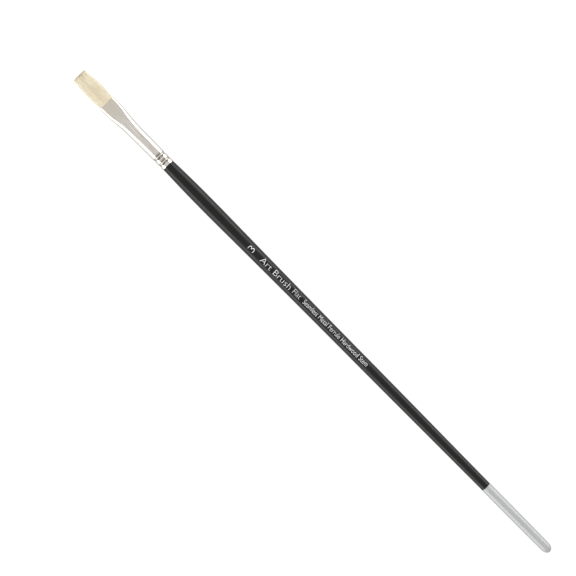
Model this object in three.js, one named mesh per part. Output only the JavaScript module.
// A long-handled flat bristle brush for oil and acrylic painting, as it lies on a table.
// Millimetres, +Z up. The brush lies along X with its hair tips towards +X and its flat faces up and
// down. The origin is on the table, under the middle of the brush.

import * as THREE from 'three';

// ---------------------------------------------------------------------------------------------
// Driving dimensions

const OVERALL_LENGTH = 311; // hair tips to rounded butt
const HAIR_OUT = 18.4; // hair that shows beyond the ferrule
const FERRULE_LENGTH = 40.7; // mouth to rim

const TUBE_RADIUS = 3.25; // the round tube that the ferrule is pressed from, outside
const FERRULE_WALL = 0.3;
const MOUTH_HALF_WIDTH = 4.22; // the pressed mouth, outside
const MOUTH_STRAIGHT = 2.5; // the mouth keeps its section for this length
const SPREAD_FADE = 8.8; // past the straight mouth, half of the spread is gone after this length
const SPREAD_SHARPNESS = 2.8;
const CRIMPS = [34.85, 38.15]; // crimp rings, from the mouth
const CRIMP_DEPTH = 0.25;
const CRIMP_HALF_WIDTH = 0.85;
const CRIMP_FLOOR_HALF_WIDTH = 0.35;

const BELLY_RADIUS = 3.525; // the handle's thickest stretch, which also carries the brush on a table
// The lacquered handle's outline: [distance behind the ferrule's rim, radius]
const HANDLE_OUTLINE = [
  [0, 3.1], [12, 3.42], [26, 3.55], [49, 3.32], [80, 3.05], [110, 2.915],
  [146, 2.8], [190, 2.545], [214, 2.44], [226, 2.44], [238, 2.4], [247, 2.31],
];
const DIP_STATION = 209.35; // the silver end starts here, behind the rim
const HANDLE_STATIONS = [
  0.1, 6, 12, 18, 23, 29, 36, 44, 54, 66, 80, 96, 116, 140, 165, 190, DIP_STATION, 228, 240,
];
const BUTT_ROUNDING = 3.2; // length of the rounded end
const LACQUER_COAT = 0.16;
const SILVER_COAT = 0.08;
const COAT_GAP = 0.02; // clearance between one coat and the next

const TENON_RADIUS = 2.55; // the handle's stem inside the ferrule
const TENON_LENGTH = 18;
const TENON_CHAMFER = 0.5;
const GLUE_LENGTH = 7;
const GLUE_CLEARANCE = 0.03;

const PLUG_FROM = 12.4; // inside the ferrule, distances from the mouth
const PLUG_TO = 20.5;
const ROOT_FROM = 1.2;
const ROOT_TO = 12;
const THREAD_FROM = 7.6;
const THREAD_TO = 10.4;
const THREAD_THICKNESS = 0.32;

const BEND_AXIS_OUT = 1.25; // the hair bends about a line this far beyond the mouth
const HAIR_LAYER_GAP = 0.1; // between the two facing layers of hair
const HAIR_SQUARENESS = 2.6; // 2 gives an elliptical tuft, more gives a squarer one
const HAIR_ARC_POINTS = 15;
// The tuft's outline beyond the bend axis: [distance from the mouth, half width, half thickness]
const HAIR_OUTLINE = [
  [1.25, 3.88, 1.2], [4, 4.03, 1.45], [8, 4.14, 1.62], [11.7, 4.12, 1.55], [14.2, 4.02, 1.32],
  [16.4, 3.82, 1.02], [17.7, 3.5, 0.72], [18.4, 2.95, 0.4],
];

const SIDES = 24; // facets round the brush: one of them faces straight down
const CAP_STEPS = 5;
const KNUCKLE_STEPS = 4;

// ---------------------------------------------------------------------------------------------
// Places along the brush

const TIP = OVERALL_LENGTH / 2;
const BUTT = -TIP;
const MOUTH = TIP - HAIR_OUT;
const RIM = MOUTH - FERRULE_LENGTH;
const AXIS_HEIGHT = BELLY_RADIUS;
const FACET_HALF_ANGLE = Math.PI / SIDES;

// ---------------------------------------------------------------------------------------------
// Shape functions

// A smooth curve through [x, y] points, as a function of x
function curveThrough(points) {
  const last = points.length - 1;
  const slope = (i) => (points[i + 1][1] - points[i][1]) / (points[i + 1][0] - points[i][0]);
  const tangent = (i) => {
    if (i === 0) return slope(0);
    if (i === last) return slope(last - 1);
    return (slope(i - 1) + slope(i)) / 2;
  };
  return (x) => {
    let i = 0;
    while (i < last - 1 && x > points[i + 1][0]) i += 1;
    const [x0, y0] = points[i];
    const [x1, y1] = points[i + 1];
    const span = x1 - x0;
    const t = (x - x0) / span;
    const rise = t * t * (3 - 2 * t);
    const start = t * (1 - t) * (1 - t) * span * tangent(i);
    const finish = t * t * (t - 1) * span * tangent(i + 1);
    return y0 + (y1 - y0) * rise + start + finish;
  };
}

const handleCurve = curveThrough(HANDLE_OUTLINE);
const handleRadius = (behindRim) => Math.min(BELLY_RADIUS, handleCurve(behindRim));

// The ferrule's outside, from the distance behind its mouth. Pressing the round tube flat spreads it
// sideways, and its perimeter stays the same, so the half width gives the half thickness.
function ferruleSize(behindMouth) {
  const past = Math.max(0, behindMouth - MOUTH_STRAIGHT) / SPREAD_FADE;
  const spread = 1 / (1 + past ** SPREAD_SHARPNESS);
  const halfWidth = TUBE_RADIUS + (MOUTH_HALF_WIDTH - TUBE_RADIUS) * spread;
  const halfThickness = (2 * Math.PI * TUBE_RADIUS - 4 * halfWidth) / (2 * Math.PI - 4);
  return { halfWidth, halfThickness: Math.min(halfThickness, halfWidth) };
}

// One ring of corners: two half circles joined by two flats. The flats and the widest points lie on
// facets, so the ring measures exactly halfWidth and halfThickness.
function ring(x, halfWidth, halfThickness) {
  const flat = halfWidth - halfThickness;
  const cornerRadius = halfThickness / Math.cos(FACET_HALF_ANGLE);
  return Array.from({ length: SIDES }, (_, k) => {
    const angle = (2 * k + 1) * FACET_HALF_ANGLE;
    const y = Math.sign(Math.cos(angle)) * flat + cornerRadius * Math.cos(angle);
    return new THREE.Vector3(x, y, AXIS_HEIGHT + cornerRadius * Math.sin(angle));
  });
}

// A ring that follows the ferrule, inset from its outside
function ferruleRing(behindMouth, inset) {
  const { halfWidth, halfThickness } = ferruleSize(behindMouth);
  return ring(MOUTH - behindMouth, halfWidth - inset, halfThickness - inset);
}

// A closed skin over rings of equal count. A hollow body's rings run round and join up again, and a
// solid body's first and last rings are filled.
function skin(rings, hollow = false) {
  const count = rings[0].length;
  const corners = rings.flat();
  const index = [];
  const joins = hollow ? rings.length : rings.length - 1;
  for (let r = 0; r < joins; r += 1) {
    const here = r * count;
    const there = ((r + 1) % rings.length) * count;
    for (let k = 0; k < count; k += 1) {
      const next = (k + 1) % count;
      index.push(here + k, there + k, there + next, here + k, there + next, here + next);
    }
  }
  if (!hollow) {
    const end = (rings.length - 1) * count;
    for (let k = 1; k < count - 1; k += 1) {
      index.push(0, k, k + 1);
      index.push(end, end + k + 1, end + k);
    }
  }
  const geometry = new THREE.BufferGeometry().setFromPoints(corners);
  geometry.setIndex(index);
  geometry.computeVertexNormals();
  return geometry;
}

// A turned body from [x, radius] points, with the same facets as the rings
function turned(profile) {
  const points = profile.map(([x, radius]) => (
    new THREE.Vector2(radius / Math.cos(FACET_HALF_ANGLE), x)
  ));
  return new THREE.LatheGeometry(points, SIDES, FACET_HALF_ANGLE)
    .rotateZ(-Math.PI / 2)
    .translate(0, 0, AXIS_HEIGHT);
}

// ---------------------------------------------------------------------------------------------
// Handle: turned wood under a black lacquer coat, with the end dipped in silver

// The lacquered handle's outline moved out by an offset, from a station to the rounded butt
function handleProfile(offset, fromStation) {
  const capLength = BUTT_ROUNDING;
  const capStart = BUTT + capLength + COAT_GAP + SILVER_COAT;
  const capRadius = handleRadius(RIM - capStart);
  const straight = HANDLE_STATIONS
    .filter((station) => station >= fromStation)
    .map((station) => [RIM - station, handleRadius(station) + offset]);
  const cap = Array.from({ length: CAP_STEPS + 1 }, (_, i) => {
    const angle = (i / CAP_STEPS) * (Math.PI / 2);
    const radius = i === CAP_STEPS ? 0 : (capRadius + offset) * Math.cos(angle);
    return [capStart - (capLength + offset) * Math.sin(angle), radius];
  });
  return [...straight, ...cap];
}

function handleGeometry() {
  const tenonEnd = RIM + TENON_LENGTH;
  const shoulder = RIM - HANDLE_STATIONS[0];
  const body = handleProfile(-LACQUER_COAT - COAT_GAP, 0);
  return turned([
    [tenonEnd, 0],
    [tenonEnd, TENON_RADIUS - TENON_CHAMFER],
    [tenonEnd - TENON_CHAMFER, TENON_RADIUS],
    [shoulder, TENON_RADIUS],
    ...body,
  ].reverse());
}

function coatGeometry(innerOffset, outerOffset, fromStation) {
  const outside = handleProfile(outerOffset, fromStation);
  const inside = handleProfile(innerOffset, fromStation);
  return turned([...outside.reverse(), ...inside]);
}

// ---------------------------------------------------------------------------------------------
// Ferrule and what it holds

function ferruleStations() {
  const plain = [0, MOUTH_STRAIGHT, 5, 7.5, 10, 12.5, 15, 18, 22, 27, FERRULE_LENGTH]
    .map((at) => [at, 0]);
  const crimped = CRIMPS.flatMap((at) => [
    [at - CRIMP_HALF_WIDTH, 0],
    [at - CRIMP_FLOOR_HALF_WIDTH, CRIMP_DEPTH],
    [at + CRIMP_FLOOR_HALF_WIDTH, CRIMP_DEPTH],
    [at + CRIMP_HALF_WIDTH, 0],
  ]);
  return [...plain, ...crimped].sort((a, b) => a[0] - b[0]);
}

function ferruleGeometry() {
  const stations = ferruleStations();
  const outside = stations.map(([at, pressed]) => ferruleRing(at, pressed));
  const inside = stations.map(([at, pressed]) => ferruleRing(at, FERRULE_WALL + pressed));
  return skin([...outside, ...inside.reverse()], true);
}

// A plug that fills the ferrule's bore between two distances from the mouth
function boreFilling(from, to, inset, stretches = 3) {
  return Array.from({ length: stretches + 1 }, (_, i) => (
    ferruleRing(from + ((to - from) * i) / stretches, inset)
  ));
}

function glueGeometry() {
  const from = FERRULE_LENGTH - TENON_LENGTH + TENON_CHAMFER;
  const outside = boreFilling(from, from + GLUE_LENGTH, FERRULE_WALL + GLUE_CLEARANCE);
  const innerRadius = TENON_RADIUS + GLUE_CLEARANCE;
  const inside = outside.map((corners) => ring(corners[0].x, innerRadius, innerRadius));
  return skin([...outside, ...inside.reverse()], true);
}

function rootGeometry() {
  const full = FERRULE_WALL + GLUE_CLEARANCE;
  const waist = full + THREAD_THICKNESS + GLUE_CLEARANCE;
  return skin([
    ...boreFilling(ROOT_FROM, THREAD_FROM - GLUE_CLEARANCE, full, 2),
    ...boreFilling(THREAD_FROM - GLUE_CLEARANCE, THREAD_TO + GLUE_CLEARANCE, waist, 1),
    ...boreFilling(THREAD_TO + GLUE_CLEARANCE, ROOT_TO, full, 1),
  ]);
}

function threadGeometry() {
  const outerInset = FERRULE_WALL + GLUE_CLEARANCE;
  const outside = boreFilling(THREAD_FROM, THREAD_TO, outerInset, 1);
  const inside = boreFilling(THREAD_FROM, THREAD_TO, outerInset + THREAD_THICKNESS, 1);
  return skin([...outside, ...inside.reverse()], true);
}

// ---------------------------------------------------------------------------------------------
// Tuft: two facing layers of hair. Its base is round about the bend axis, so it turns in place.

function hairSections() {
  const [axisAt, axisHalfWidth, knuckleRadius] = HAIR_OUTLINE[0];
  const knuckle = Array.from({ length: KNUCKLE_STEPS }, (_, i) => {
    const angle = THREE.MathUtils.degToRad(70) * (1 - i / KNUCKLE_STEPS);
    const at = axisAt - knuckleRadius * Math.sin(angle);
    return [at, axisHalfWidth, knuckleRadius * Math.cos(angle)];
  });
  return [...knuckle, ...HAIR_OUTLINE];
}

// side is 1 for the layer above the middle plane and -1 for the one below it
function hairLayerGeometry(side) {
  const rings = hairSections().map(([at, halfWidth, halfThickness]) => {
    const arc = Array.from({ length: HAIR_ARC_POINTS }, (_, i) => {
      const across = -Math.cos((i / (HAIR_ARC_POINTS - 1)) * Math.PI);
      const height = halfThickness
        * Math.max(0, 1 - Math.abs(across) ** HAIR_SQUARENESS) ** (1 / HAIR_SQUARENESS);
      const z = AXIS_HEIGHT + side * (HAIR_LAYER_GAP / 2 + height);
      return new THREE.Vector3(MOUTH + at, across * halfWidth, z);
    });
    return side > 0 ? arc : arc.reverse();
  });
  return skin(rings);
}

// ---------------------------------------------------------------------------------------------
// Materials and assembly

const finish = (color, roughness, metalness = 0) => (
  new THREE.MeshStandardMaterial({ color, roughness, metalness, flatShading: true })
);
const materials = {
  wood: finish(0xd9b98a, 0.7),
  lacquer: finish(0x17171a, 0.3),
  silver: finish(0xb9bbbd, 0.4, 0.6),
  nickel: finish(0xc9c4bc, 0.18, 1),
  glue: finish(0xd8cfa8, 0.5),
  resin: finish(0xb98d4a, 0.4),
  thread: finish(0xe8e2d0, 0.9),
  bristle: finish(0xe6dcc0, 0.75),
};

function piece(name, geometry, material) {
  const mesh = new THREE.Mesh(geometry, material);
  mesh.name = name;
  return mesh;
}

const handle = new THREE.Group();
handle.add(
  piece('wood_handle', handleGeometry(), materials.wood),
  piece('black_lacquer', coatGeometry(-LACQUER_COAT, 0, 0), materials.lacquer),
  piece(
    'silver_dip',
    coatGeometry(COAT_GAP, COAT_GAP + SILVER_COAT, DIP_STATION),
    materials.silver,
  ),
);

const head = new THREE.Group();
head.add(
  piece('ferrule', ferruleGeometry(), materials.nickel),
  piece('tenon_glue', glueGeometry(), materials.glue),
  piece(
    'resin_plug',
    skin(boreFilling(PLUG_FROM, PLUG_TO, FERRULE_WALL + GLUE_CLEARANCE)),
    materials.resin,
  ),
  piece('binding_thread', threadGeometry(), materials.thread),
  piece('bristle_root', rootGeometry(), materials.bristle),
);

const tuft = new THREE.Group();
tuft.add(
  piece('bristles_upper', hairLayerGeometry(1), materials.bristle),
  piece('bristles_lower', hairLayerGeometry(-1), materials.bristle),
);

const brush = new THREE.Group();
brush.add(handle, head, tuft);

export default brush;
